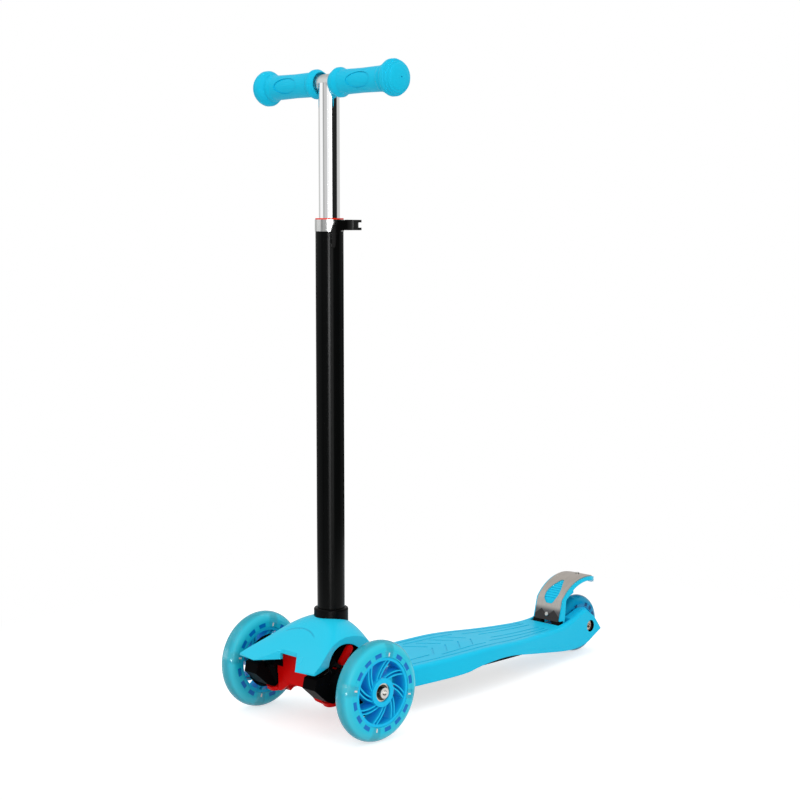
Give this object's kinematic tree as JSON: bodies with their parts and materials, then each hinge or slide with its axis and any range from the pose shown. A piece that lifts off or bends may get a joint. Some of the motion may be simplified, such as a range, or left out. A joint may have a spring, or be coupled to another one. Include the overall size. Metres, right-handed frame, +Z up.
{
  "type": "kick scooter",
  "caption": "Three-wheeled child's kick scooter steered by leaning, with clear tyres, a telescopic handlebar with a quick-release clamp, and a foot brake over the rear wheel.",
  "frame": {"origin": "middle of the footprint, on the floor that the wheels stand on", "axes": "+X to the rider's left, +Y from the front wheels to the rear wheel, +Z up"},
  "size_m": [0.244, 0.599, 0.7883],
  "materials": {
    "deck_blue": "moulded blue plastic, satin",
    "cover_blue": "moulded light blue plastic, glossy",
    "black_plastic": "black plastic",
    "steel": "plated steel",
    "bearing_steel": "ground steel",
    "red_truck": "red glass-filled plastic, satin",
    "knuckle_black": "glass-filled black plastic",
    "black_socket": "black plastic, satin",
    "black_tube": "black powder coat, satin",
    "orange_sleeve": "orange-red plastic",
    "silver_clamp": "polished aluminium",
    "black_bolt": "black plated steel",
    "black_lever": "glossy black plastic",
    "chrome_stem": "chrome plated tube",
    "blue_grip": "soft blue rubber",
    "clear_tyre": "clear cast polyurethane",
    "hub_blue": "translucent blue plastic",
    "light_white": "light module, clear plastic",
    "brake_blue": "moulded blue plastic",
    "brake_grey": "stamped plate, satin"
  },
  "bodies": {
    "deck": {"deck_board": "deck_blue", "deck_bottom_plate": "black_plastic", "plate_screws": "steel", "truck_body": "red_truck", "tongue_screws": "steel", "truck_cover": "cover_blue", "cover_screws": "steel", "kingpin_left": "steel", "kingpin_right": "steel", "column_socket": "black_socket", "socket_screws": "steel", "column_tube": "black_tube", "column_sleeve": "orange_sleeve", "clamp_collar": "silver_clamp", "clamp_bolt": "black_bolt", "clamp_washer": "silver_clamp", "lever_barrel": "silver_clamp", "snap_spring": "steel", "centring_spring_left": "steel", "centring_spring_right": "steel", "brake_pin": "steel", "brake_spring": "steel", "rear_axle_bolt": "steel", "rear_axle_nut": "steel", "rear_spacers": "steel", "rear_magnet": "bearing_steel"},
    "tie_rod": {"tie_rod": "red_truck"},
    "rear_wheel": {"rear_tyre": "clear_tyre", "rear_hub": "hub_blue", "rear_lights": "light_white", "rear_bearings": "bearing_steel"},
    "brake": {"brake_arm": "brake_blue", "brake_cover_plate": "brake_grey", "brake_screws": "steel"},
    "handlebar": {"handlebar_stem": "chrome_stem", "stem_plug": "black_plastic", "handlebar_crossbar": "chrome_stem", "grip_left": "blue_grip", "grip_right": "blue_grip"},
    "clamp_lever": {"clamp_lever": "black_lever"},
    "snap_button": {"snap_button": "black_plastic"},
    "knuckle_left": {"knuckle_left": "knuckle_black", "kingpin_bushes_left": "black_plastic", "front_axle_bolt_left": "steel", "front_magnet_left": "bearing_steel", "tie_rod_pin_left": "steel"},
    "front_wheel_left": {"front_tyre_left": "clear_tyre", "front_hub_left": "hub_blue", "front_lights_left": "light_white", "front_bearings_left": "bearing_steel"},
    "knuckle_right": {"knuckle_right": "knuckle_black", "kingpin_bushes_right": "black_plastic", "front_axle_bolt_right": "steel", "front_magnet_right": "bearing_steel", "tie_rod_pin_right": "steel"},
    "front_wheel_right": {"front_tyre_right": "clear_tyre", "front_hub_right": "hub_blue", "front_lights_right": "light_white", "front_bearings_right": "bearing_steel"}
  },
  "joints": [
    {"name": "steer_left", "type": "hinge", "parent": "deck", "child": "knuckle_left", "pos_m": [0.05, -0.2567, 0.06], "axis": [0, -0.5, 0.866], "range_deg": [-15, 15], "stiffness_Nm_per_rad": 6, "deforming": ["centring_spring_left", "centring_spring_right"]},
    {"name": "steer_right", "type": "hinge", "parent": "deck", "child": "knuckle_right", "pos_m": [-0.05, -0.2567, 0.06], "axis": [0, -0.5, 0.866], "range_deg": [-15, 15]},
    {"name": "tie_rod_link", "type": "hinge", "parent": "knuckle_left", "child": "tie_rod", "pos_m": [0.05, -0.23592, 0.072], "axis": [0, -0.5, 0.866], "range_deg": [-15, 15]},
    {"name": "wheel_left_spin", "type": "hinge", "parent": "knuckle_left", "child": "front_wheel_left", "pos_m": [0.1039, -0.232, 0.06], "axis": [1, 0, 0], "continuous": true},
    {"name": "wheel_right_spin", "type": "hinge", "parent": "knuckle_right", "child": "front_wheel_right", "pos_m": [-0.1039, -0.232, 0.06], "axis": [1, 0, 0], "continuous": true},
    {"name": "rear_wheel_spin", "type": "hinge", "parent": "deck", "child": "rear_wheel", "pos_m": [0, 0.2595, 0.04], "axis": [1, 0, 0], "continuous": true},
    {"name": "brake_press", "type": "hinge", "parent": "deck", "child": "brake", "pos_m": [0, 0.202, 0.044], "axis": [1, 0, 0], "range_deg": [-8.2, 0], "stiffness_Nm_per_rad": 1.2, "springref_deg": 8.59, "deforming": ["brake_spring"]},
    {"name": "handlebar_height", "type": "slide", "parent": "deck", "child": "handlebar", "axis": [0, 0, 1], "range_m": [-0.12, 0.05]},
    {"name": "clamp_lever", "type": "hinge", "parent": "deck", "child": "clamp_lever", "pos_m": [0.00629, -0.16949, 0.601], "axis": [0, 0, 1], "range_deg": [0, 100]},
    {"name": "snap_button", "type": "slide", "parent": "deck", "child": "snap_button", "axis": [0, -1, 0], "range_m": [0, 0.005], "stiffness_N_per_m": 600, "springref_m": -0.002, "deforming": ["snap_spring"]}
  ],
  "couplings": [
    {"joint": "steer_right", "follows": "steer_left", "ratio": 1},
    {"joint": "tie_rod_link", "follows": "steer_left", "ratio": -1}
  ]
}
